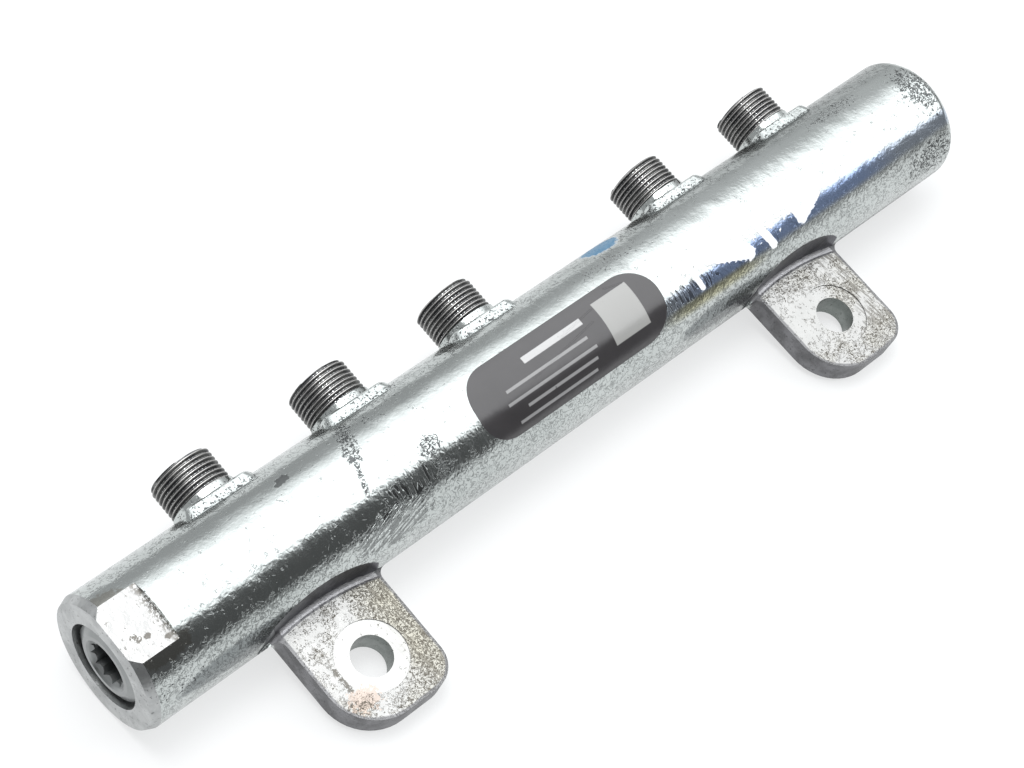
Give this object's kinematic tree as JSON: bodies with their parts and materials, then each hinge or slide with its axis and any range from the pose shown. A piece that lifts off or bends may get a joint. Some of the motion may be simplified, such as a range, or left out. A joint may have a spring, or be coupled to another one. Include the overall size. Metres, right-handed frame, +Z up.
{
  "type": "high-pressure fuel rail",
  "caption": "Forged steel fuel rail: a round drilled bar with threaded pipe ports along one side, bolt lugs along the other and a screwed end plug with a toothed socket.",
  "frame": {"origin": "middle of the rail's outline, at the height of the table it lies on", "axes": "+X along the rail from the plug end to the blind end, +Y towards the pipe ports, +Z up as the rail lies on its belly and its lug tips"},
  "size_m": [0.2348, 0.064, 0.0295],
  "materials": {
    "forged_steel": "zinc-plated forging, matte, pitted",
    "plug_steel": "turned and darkened",
    "label": "dark satin foil"
  },
  "bodies": {
    "root": {"rail_body": "forged_steel", "end_plug": "plug_steel", "label_foil": "label"}
  },
  "joints": []
}
